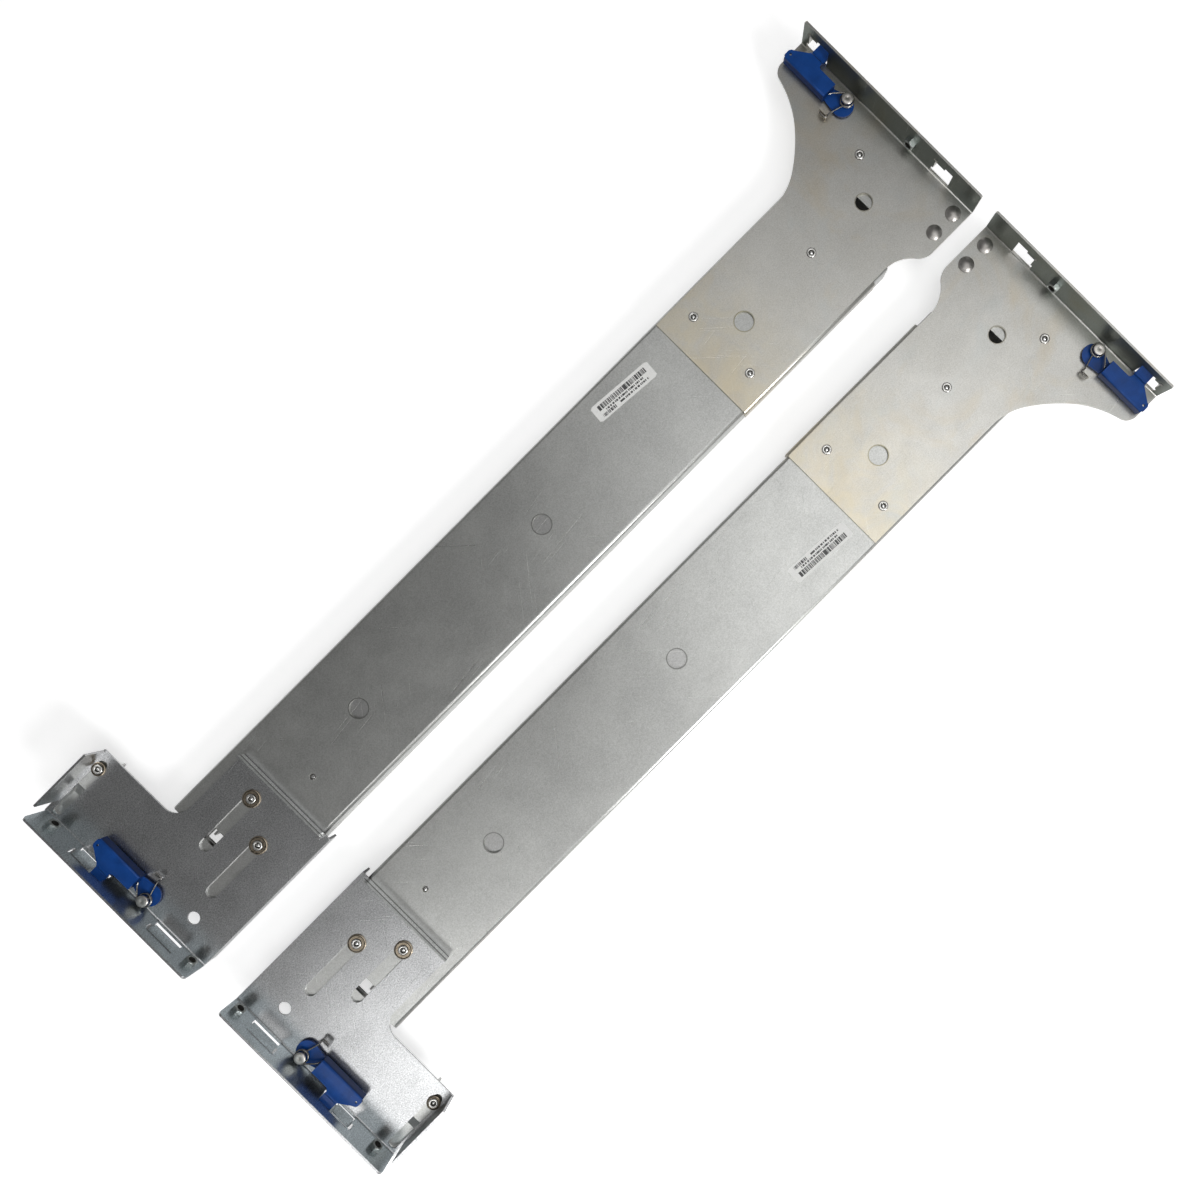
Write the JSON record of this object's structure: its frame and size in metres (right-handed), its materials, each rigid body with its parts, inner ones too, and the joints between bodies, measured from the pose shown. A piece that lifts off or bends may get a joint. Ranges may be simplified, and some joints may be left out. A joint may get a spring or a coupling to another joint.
{
  "type": "sliding server rail pair",
  "caption": "Mirrored pair of telescoping sheet-metal server rails with hooked rack flanges, sprung blue latches and ball slides that carry a server out of the rack.",
  "frame": {"origin": "middle of the pair's bounding box, at its lowest face, which is the face that meets the server", "axes": "+X along the rails towards the front brackets, +Y from the right rail to the left one, +Z towards the rails' outer faces"},
  "size_m": [0.768, 0.3506, 0.0462],
  "materials": {
    "zinc": "galvanised sheet",
    "zinc_warm": "chromated zinc sheet",
    "rivet_steel": "satin rivets",
    "dome_steel": "polished rivet heads",
    "washer_bronze": "yellow passivated",
    "latch_blue": "blue powder coat",
    "spring_steel": "spring wire",
    "nut_steel": "clinch nuts",
    "slide_steel": "zinc plated slide",
    "ball_steel": "polished balls",
    "label_stock": "blank printed sticker"
  },
  "bodies": {
    "fixed_rails": {"left_channel": "zinc", "left_front_bracket": "zinc_warm", "left_front_bracket_rivets": "rivet_steel", "left_front_stop_plate": "zinc", "left_front_dome_rivets": "dome_steel", "left_front_flange_nut": "nut_steel", "left_front_latch_pin": "rivet_steel", "left_front_latch_spring": "spring_steel", "left_rear_guide_rivets": "rivet_steel", "left_rear_guide_washers": "washer_bronze", "left_slide_outer_member": "slide_steel", "left_slide_rivets": "rivet_steel", "left_label": "label_stock", "right_channel": "zinc", "right_front_bracket": "zinc_warm", "right_front_bracket_rivets": "rivet_steel", "right_front_stop_plate": "zinc", "right_front_dome_rivets": "dome_steel", "right_front_flange_nut": "nut_steel", "right_front_latch_pin": "rivet_steel", "right_front_latch_spring": "spring_steel", "right_rear_guide_rivets": "rivet_steel", "right_rear_guide_washers": "washer_bronze", "right_slide_outer_member": "slide_steel", "right_slide_rivets": "rivet_steel", "right_label": "label_stock"},
    "left_rear_bracket_body": {"left_rear_bracket": "zinc", "left_rear_flange_nuts": "nut_steel", "left_rear_latch_pin": "rivet_steel", "left_rear_latch_spring": "spring_steel"},
    "left_rear_latch": {"left_rear_latch_lever": "latch_blue"},
    "left_front_latch": {"left_front_latch_lever": "latch_blue"},
    "left_arm_catch": {"left_cable_arm_catch": "zinc", "left_cable_arm_catch_rivet": "rivet_steel", "left_cable_arm_catch_washer": "washer_bronze"},
    "left_intermediate": {"left_slide_intermediate_member": "slide_steel"},
    "left_inner": {"left_slide_inner_member": "slide_steel"},
    "left_outer_retainer": {"left_outer_ball_strips": "slide_steel", "left_outer_balls": "ball_steel"},
    "left_inner_retainer": {"left_inner_ball_strips": "slide_steel", "left_inner_balls": "ball_steel"},
    "right_rear_bracket_body": {"right_rear_bracket": "zinc", "right_rear_flange_nuts": "nut_steel", "right_rear_latch_pin": "rivet_steel", "right_rear_latch_spring": "spring_steel"},
    "right_rear_latch": {"right_rear_latch_lever": "latch_blue"},
    "right_front_latch": {"right_front_latch_lever": "latch_blue"},
    "right_arm_catch": {"right_cable_arm_catch": "zinc", "right_cable_arm_catch_rivet": "rivet_steel", "right_cable_arm_catch_washer": "washer_bronze"},
    "right_intermediate": {"right_slide_intermediate_member": "slide_steel"},
    "right_inner": {"right_slide_inner_member": "slide_steel"},
    "right_outer_retainer": {"right_outer_ball_strips": "slide_steel", "right_outer_balls": "ball_steel"},
    "right_inner_retainer": {"right_inner_ball_strips": "slide_steel", "right_inner_balls": "ball_steel"}
  },
  "joints": [
    {"name": "left_rear_bracket_slide", "type": "slide", "parent": "fixed_rails", "child": "left_rear_bracket_body", "axis": [1, 0, 0], "range_m": [0, 0.046]},
    {"name": "left_rear_latch_hinge", "type": "hinge", "parent": "left_rear_bracket_body", "child": "left_rear_latch", "pos_m": [-0.3706, 0.07705, 0.0244], "axis": [0, 0, -1], "range_deg": [0, 14], "stiffness_Nm_per_rad": 0.12, "springref_deg": -17.19},
    {"name": "left_front_latch_hinge", "type": "hinge", "parent": "fixed_rails", "child": "left_front_latch", "pos_m": [0.368, 0.12305, 0.0244], "axis": [0, 0, 1], "range_deg": [0, 14], "stiffness_Nm_per_rad": 0.12, "springref_deg": -17.19},
    {"name": "left_arm_catch_slide", "type": "slide", "parent": "left_rear_bracket_body", "child": "left_arm_catch", "axis": [-1, 0, 0], "range_m": [0, 0.038]},
    {"name": "left_intermediate_slide", "type": "slide", "parent": "fixed_rails", "child": "left_intermediate", "axis": [1, 0, 0], "range_m": [0, 0.34]},
    {"name": "left_inner_slide", "type": "slide", "parent": "left_intermediate", "child": "left_inner", "axis": [1, 0, 0], "range_m": [0, 0.34]},
    {"name": "left_outer_retainer_slide", "type": "slide", "parent": "fixed_rails", "child": "left_outer_retainer", "axis": [1, 0, 0], "range_m": [0, 0.171]},
    {"name": "left_inner_retainer_slide", "type": "slide", "parent": "left_intermediate", "child": "left_inner_retainer", "axis": [1, 0, 0], "range_m": [0, 0.171]},
    {"name": "right_rear_bracket_slide", "type": "slide", "parent": "fixed_rails", "child": "right_rear_bracket_body", "axis": [1, 0, 0], "range_m": [0, 0.046]},
    {"name": "right_rear_latch_hinge", "type": "hinge", "parent": "right_rear_bracket_body", "child": "right_rear_latch", "pos_m": [-0.3706, -0.07705, 0.0244], "axis": [0, 0, 1], "range_deg": [0, 14], "stiffness_Nm_per_rad": 0.12, "springref_deg": -17.19},
    {"name": "right_front_latch_hinge", "type": "hinge", "parent": "fixed_rails", "child": "right_front_latch", "pos_m": [0.368, -0.12305, 0.0244], "axis": [0, 0, -1], "range_deg": [0, 14], "stiffness_Nm_per_rad": 0.12, "springref_deg": -17.19},
    {"name": "right_arm_catch_slide", "type": "slide", "parent": "right_rear_bracket_body", "child": "right_arm_catch", "axis": [-1, 0, 0], "range_m": [0, 0.038]},
    {"name": "right_intermediate_slide", "type": "slide", "parent": "fixed_rails", "child": "right_intermediate", "axis": [1, 0, 0], "range_m": [0, 0.34]},
    {"name": "right_inner_slide", "type": "slide", "parent": "right_intermediate", "child": "right_inner", "axis": [1, 0, 0], "range_m": [0, 0.34]},
    {"name": "right_outer_retainer_slide", "type": "slide", "parent": "fixed_rails", "child": "right_outer_retainer", "axis": [1, 0, 0], "range_m": [0, 0.171]},
    {"name": "right_inner_retainer_slide", "type": "slide", "parent": "right_intermediate", "child": "right_inner_retainer", "axis": [1, 0, 0], "range_m": [0, 0.171]}
  ],
  "couplings": [
    {"joint": "left_outer_retainer_slide", "follows": "left_intermediate_slide", "ratio": 0.5},
    {"joint": "left_inner_retainer_slide", "follows": "left_inner_slide", "ratio": 0.5},
    {"joint": "right_outer_retainer_slide", "follows": "right_intermediate_slide", "ratio": 0.5},
    {"joint": "right_inner_retainer_slide", "follows": "right_inner_slide", "ratio": 0.5}
  ]
}
